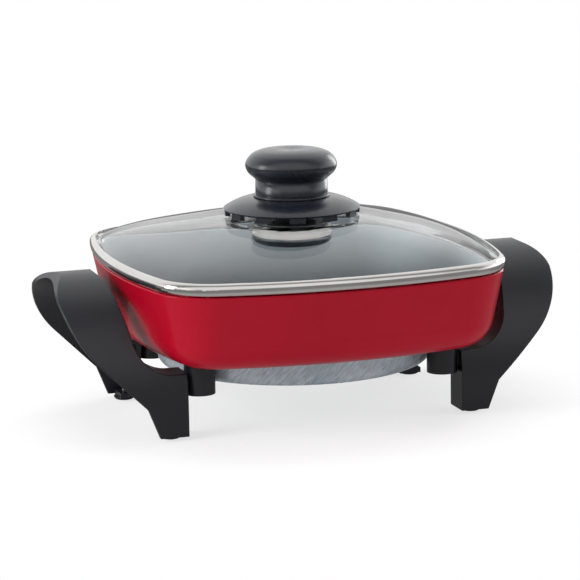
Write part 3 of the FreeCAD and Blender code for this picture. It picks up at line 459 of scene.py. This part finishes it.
# %% Floor
half_width = 8
glow_start, glow_full = 0.1, 0.34
glow_at_start = 0.7
lost_in_mirrors = 0.75
paper_tone = (0.86, 0.86, 0.86, 1)
mesh = bpy.data.meshes.new("floor")
sweep = bmesh.new()
bmesh.ops.create_grid(sweep, x_segments=1, y_segments=1, size=half_width)
sweep.to_mesh(mesh)
sweep.free()
floor = bpy.data.objects.new("floor", mesh)
bpy.context.scene.collection.objects.link(floor)
paper = Bench("white_sweep", Roughness=0.9, Specular_IOR_Level=0.05)
fx, fy = paper.along()[:2]
distance = (fx * fx + fy * fy) ** 0.5
seen = paper.rays("Camera", "Transmission")
mirrored = paper.rays("Glossy")
glow = paper.node("ShaderNodeEmission", Strength=1 - lost_in_mirrors * mirrored)
glow_share = paper.ramp(distance, glow_start, glow_full, glow_at_start, 1.0)
paper.shade_over(glow_share * paper.math("MAXIMUM", seen, mirrored), glow)
paper.set(Base_Color=paper_tone)
floor.data.materials.append(paper.material)
print("floor finish", len(paper.tree.nodes))

# %% [markdown]
# ## World
# A studio is a white backdrop, a darker room behind the camera and large soft boxes.
# The sky is worked out from the direction of each ray: white where the camera looks,
# and for reflections a bright backdrop that falls off to the front, one box high in
# front and two at the sides. Light that bounces sees an even, dimmer sky.

# %% World
camera_azimuth = math.radians(-17.79)
backdrop_dim = 0.26
box_level = 0.7
bounce_level = 0.5
world = bpy.data.worlds.new("studio")
bpy.context.scene.world = world
world.use_nodes = True


class Sky(Bench):
    """The same workbench on the world's own tree."""

    def __init__(self, tree):
        self.tree = tree


sky = Sky(world.node_tree)
ray_way = sky.node("ShaderNodeTexCoord").outputs["Generated"]
ray_parts = sky.node("ShaderNodeSeparateXYZ", Vector=ray_way).outputs
right, deep, up = [Wire(sky, part) for part in ray_parts]
straight = sky.rays("Camera", "Transmission")
reflected = sky.rays("Glossy")
toward = right * math.sin(camera_azimuth) - deep * math.cos(camera_azimuth)
backdrop = sky.ramp(toward, -0.45, 0.1, 1.0, backdrop_dim)
front_box = sky.ramp(toward, 0.2, 0.5) * sky.ramp(up, 0.1, 0.3) * box_level
side_wall = sky.ramp(sky.math("ABSOLUTE", right), 0.72, 0.9) * sky.ramp(up, 0.55, 0.3)
studio = backdrop + front_box + side_wall * box_level
lit = reflected * studio + (1 - reflected) * bounce_level
background = world.node_tree.nodes["Background"]
sky.feed(background.inputs["Strength"], straight + (1 - straight) * lit)
background.inputs["Color"].default_value = (1, 1, 1, 1)
print("sky", len(world.node_tree.nodes))

# %% [markdown]
# ## Lamps
# The lamps are large and soft, so that the shadow has no edge: a key from the left, a
# wide one overhead and a weak one from the right. Only the two low strips show in
# gloss, where they draw the long highlights on the steel and on the handles.

# %% Lamps
aim_height = 0.06
LAMPS = (
    # name, place, size, watts, shows in gloss
    ("key_lamp", (-1.55, -0.35, 0.95), (0.7, 0.7), 19, False),
    ("top_lamp", (0.15, 0.35, 1.5), (1.5, 0.9), 17, False),
    ("side_lamp", (1.4, -0.5, 0.8), (0.6, 0.9), 6, False),
    ("left_strip", (-1.25, 0.15, 0.3), (0.4, 0.9), 4.5, True),
    ("right_strip", (1.1, 0.85, 0.3), (0.4, 0.9), 3.5, True),
)
for name, place, size, watts, shown in LAMPS:
    data = bpy.data.lights.new(name, "AREA")
    data.shape = "RECTANGLE"
    data.size, data.size_y = size
    data.energy = watts
    lamp = bpy.data.objects.new(name, data)
    lamp.visible_glossy = shown
    lamp.visible_transmission = False
    aim = Vector((0, 0, aim_height)) - Vector(place)
    turn = aim.to_track_quat("-Z", "Y").to_matrix().to_4x4()
    lamp.matrix_world = Matrix.Translation(place) @ turn
    bpy.context.scene.collection.objects.link(lamp)
print("lamps", len(bpy.data.lights))

# %% [markdown]
# ## Camera
# The camera stands where the photographer stood: to the left, a little above the rim
# and far back, with a long lens. The angles, the distance and the small shift come from
# a fit of the model's own points to the picture. The lens's focal length and shift are
# given in pixels of a picture 580 wide.

# %% Camera
camera_elevation = math.radians(11.25)
camera_roll = math.radians(-0.96)
camera_distance = 1.60334
aim_at = Vector((0, 0, 0.06472))
picture = 580
focal_length = 2840
sensor = 36
shift_right, shift_up = -3.2, 2.28
back = Vector((math.sin(camera_azimuth) * math.cos(camera_elevation),
               -math.cos(camera_azimuth) * math.cos(camera_elevation),
               math.sin(camera_elevation)))
eye = aim_at + back * camera_distance
lens = bpy.data.cameras.new("camera")
lens.sensor_width = sensor
lens.lens = focal_length / picture * sensor
lens.shift_x = shift_right / picture
lens.shift_y = shift_up / picture
camera = bpy.data.objects.new("camera", lens)
turn = (-back).to_track_quat("-Z", "Y").to_matrix().to_4x4()
camera.matrix_world = Matrix.Translation(eye) @ turn @ Matrix.Rotation(camera_roll, 4, "Z")
bpy.context.scene.collection.objects.link(camera)
bpy.context.scene.camera = camera
bpy.context.scene.view_settings.view_transform = "Standard"
print("camera at", [round(value, 3) for value in eye])
